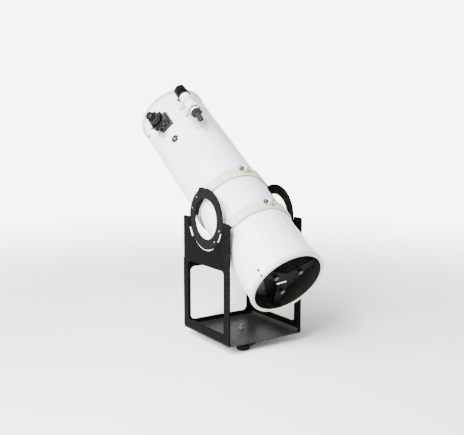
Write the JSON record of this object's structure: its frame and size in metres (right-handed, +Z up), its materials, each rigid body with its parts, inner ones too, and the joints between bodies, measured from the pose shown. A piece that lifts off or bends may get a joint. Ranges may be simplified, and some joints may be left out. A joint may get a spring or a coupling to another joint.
{
  "type": "dobsonian telescope",
  "caption": "Large Newtonian telescope in an open metal rocker box, with clamp rings on altitude bearings, a turntable base, a side focuser and a finder scope.",
  "frame": {"origin": "on the floor, on the azimuth axis at the centre of the three feet", "axes": "+Z up along the azimuth axis; X along the altitude axis; +Y from the rocker's open front towards its back panel, the way the tube points"},
  "size_m": [0.4748, 1.241, 1.2349],
  "materials": {
    "white_enamel": "gloss enamel, flat black inside the tube",
    "cream_enamel": "satin enamel on cast aluminium",
    "satin_black": "satin powder coat",
    "black_alloy": "satin powder coat on aluminium",
    "black_anodised": "satin black anodised",
    "flat_black": "flat black paint",
    "rubber": "matt moulded rubber",
    "glide_plastic": "smooth white low-friction plastic",
    "bright_steel": "bright plated steel",
    "grey_casting": "dull grey cast metal",
    "lens_glass": "coated glass",
    "mirror_glass": "aluminised glass"
  },
  "bodies": {
    "ground": {"ground_board": "black_alloy", "ground_foot_front": "rubber", "ground_foot_right": "rubber", "ground_foot_rear": "rubber", "azimuth_pad_front": "glide_plastic", "azimuth_pad_right": "glide_plastic", "azimuth_pad_rear": "glide_plastic", "azimuth_bolt": "bright_steel"},
    "rocker": {"rocker_tray": "satin_black", "rocker_side_left": "satin_black", "rocker_side_right": "satin_black", "rocker_back": "satin_black", "altitude_pad_left_front": "glide_plastic", "altitude_pad_left_rear": "glide_plastic", "altitude_pad_right_front": "glide_plastic", "altitude_pad_right_rear": "glide_plastic"},
    "cradle": {"altitude_ring_left": "black_alloy", "altitude_ring_right": "black_alloy", "ring_block_left_sky": "black_alloy", "ring_block_left_mirror": "black_alloy", "ring_block_right_sky": "black_alloy", "ring_block_right_mirror": "black_alloy", "tube_ring_sky": "cream_enamel", "tube_ring_mirror": "cream_enamel"},
    "optical_tube": {"tube_shell": "white_enamel", "end_ring_sky": "cream_enamel", "end_ring_mirror": "cream_enamel", "tube_badge": "black_anodised", "focuser_base": "black_anodised", "focuser_body": "black_anodised", "finder_bracket": "cream_enamel", "finder_tube": "white_enamel", "finder_dew_cap": "black_anodised", "finder_objective": "lens_glass", "finder_eyepiece_holder": "black_anodised", "spider": "flat_black", "secondary_mirror": "mirror_glass", "secondary_holder": "flat_black", "cell_frame": "grey_casting", "mirror_carrier": "grey_casting", "primary_mirror": "mirror_glass"},
    "drawtube_group": {"drawtube": "black_anodised", "eyepiece_adapter": "black_anodised"},
    "clamp_screw_sky_body": {"clamp_screw_sky": "bright_steel"},
    "clamp_screw_mirror_body": {"clamp_screw_mirror": "bright_steel"},
    "eyepiece_body": {"eyepiece": "rubber"},
    "eyepiece_lock_screw_body": {"eyepiece_lock_screw": "bright_steel"},
    "drawtube_lock_screw_body": {"drawtube_lock_screw": "black_anodised"},
    "focus_shaft_body": {"focus_shaft": "bright_steel"},
    "fine_focus_knob_body": {"fine_focus_knob": "black_anodised"},
    "finder_eyepiece_body": {"finder_eyepiece": "black_anodised"},
    "finder_screw_rear_left_body": {"finder_screw_rear_left": "bright_steel"},
    "finder_screw_rear_right_body": {"finder_screw_rear_right": "bright_steel"},
    "finder_screw_front_left_body": {"finder_screw_front_left": "bright_steel"},
    "finder_screw_front_right_body": {"finder_screw_front_right": "bright_steel"},
    "collimation_screw_right_body": {"collimation_screw_right": "bright_steel"},
    "collimation_screw_left_body": {"collimation_screw_left": "bright_steel"},
    "collimation_screw_lower_body": {"collimation_screw_lower": "bright_steel"}
  },
  "joints": [
    {"name": "azimuth", "type": "hinge", "parent": "ground", "child": "rocker", "pos_m": [0, 0, 0.045], "axis": [0, 0, 1], "continuous": true},
    {"name": "altitude", "type": "hinge", "parent": "rocker", "child": "cradle", "pos_m": [0, 0, 0.602], "axis": [1, 0, 0], "range_deg": [-35, 54.5]},
    {"name": "tube_rotation", "type": "hinge", "parent": "cradle", "child": "optical_tube", "pos_m": [0, 0, 0.602], "axis": [0, 0.8171, 0.5764], "continuous": true},
    {"name": "clamp_sky_turn", "type": "hinge", "parent": "cradle", "child": "clamp_screw_sky_body", "pos_m": [0, -0.02828, 0.83292], "axis": [-1, 0, 0], "range_deg": [-360, 1080]},
    {"name": "clamp_mirror_turn", "type": "hinge", "parent": "cradle", "child": "clamp_screw_mirror_body", "pos_m": [0, -0.22195, 0.69631], "axis": [-1, 0, 0], "range_deg": [-360, 1080]},
    {"name": "drawtube_slide", "type": "slide", "parent": "optical_tube", "child": "drawtube_group", "axis": [-0.891, -0.2617, 0.371], "range_m": [-0.01, 0.035]},
    {"name": "focus_turn", "type": "hinge", "parent": "optical_tube", "child": "focus_shaft_body", "pos_m": [-0.19563, 0.48736, 1.02314], "axis": [0, -0.8171, -0.5764], "range_deg": [-140, 480]},
    {"name": "fine_focus_turn", "type": "hinge", "parent": "optical_tube", "child": "fine_focus_knob_body", "pos_m": [-0.19563, 0.48736, 1.02314], "axis": [0, -0.8171, -0.5764], "range_deg": [-1370, 4780]},
    {"name": "drawtube_lock_turn", "type": "hinge", "parent": "optical_tube", "child": "drawtube_lock_screw_body", "pos_m": [-0.21684, 0.49167, 1.01702], "axis": [0.454, -0.5136, 0.7281], "range_deg": [-720, 90]},
    {"name": "eyepiece_slide", "type": "slide", "parent": "drawtube_group", "child": "eyepiece_body", "axis": [-0.891, -0.2617, 0.371], "range_m": [0, 0.034]},
    {"name": "eyepiece_lock_turn", "type": "hinge", "parent": "drawtube_group", "child": "eyepiece_lock_screw_body", "pos_m": [-0.21385, 0.47297, 1.09592], "axis": [0.2473, 0.4056, 0.88], "range_deg": [-90, 720]},
    {"name": "finder_focus", "type": "slide", "parent": "optical_tube", "child": "finder_eyepiece_body", "axis": [0, -0.8171, -0.5764], "range_m": [-0.006, 0.01]},
    {"name": "finder_screw_rear_left_turn", "type": "hinge", "parent": "optical_tube", "child": "finder_screw_rear_left_body", "pos_m": [-0.04518, 0.2964, 1.09781], "axis": [0.9659, 0.1492, -0.2115], "range_deg": [-720, 1440]},
    {"name": "finder_screw_rear_right_turn", "type": "hinge", "parent": "optical_tube", "child": "finder_screw_rear_right_body", "pos_m": [-0.11599, 0.31126, 1.07675], "axis": [-0.5736, 0.4722, -0.6694], "range_deg": [-720, 1440]},
    {"name": "finder_screw_front_left_turn", "type": "hinge", "parent": "optical_tube", "child": "finder_screw_front_left_body", "pos_m": [-0.04518, 0.3487, 1.1347], "axis": [0.9659, 0.1492, -0.2115], "range_deg": [-720, 1440]},
    {"name": "finder_screw_front_right_turn", "type": "hinge", "parent": "optical_tube", "child": "finder_screw_front_right_body", "pos_m": [-0.11599, 0.36355, 1.11364], "axis": [-0.5736, 0.4722, -0.6694], "range_deg": [-720, 1440]},
    {"name": "collimation_right_turn", "type": "hinge", "parent": "optical_tube", "child": "collimation_screw_right_body", "pos_m": [0.05752, -0.36747, 0.39778], "axis": [0, -0.8171, -0.5764], "range_deg": [-1080, 1080]},
    {"name": "collimation_left_turn", "type": "hinge", "parent": "optical_tube", "child": "collimation_screw_left_body", "pos_m": [-0.06768, -0.35733, 0.3834], "axis": [0, -0.8171, -0.5764], "range_deg": [-1080, 1080]},
    {"name": "collimation_lower_turn", "type": "hinge", "parent": "optical_tube", "child": "collimation_screw_lower_body", "pos_m": [0.01016, -0.2999, 0.30198], "axis": [0, -0.8171, -0.5764], "range_deg": [-1080, 1080]}
  ],
  "couplings": [
    {"joint": "focus_turn", "follows": "drawtube_slide", "rad_per_m": 238.1},
    {"joint": "fine_focus_turn", "follows": "drawtube_slide", "rad_per_m": 2381}
  ]
}
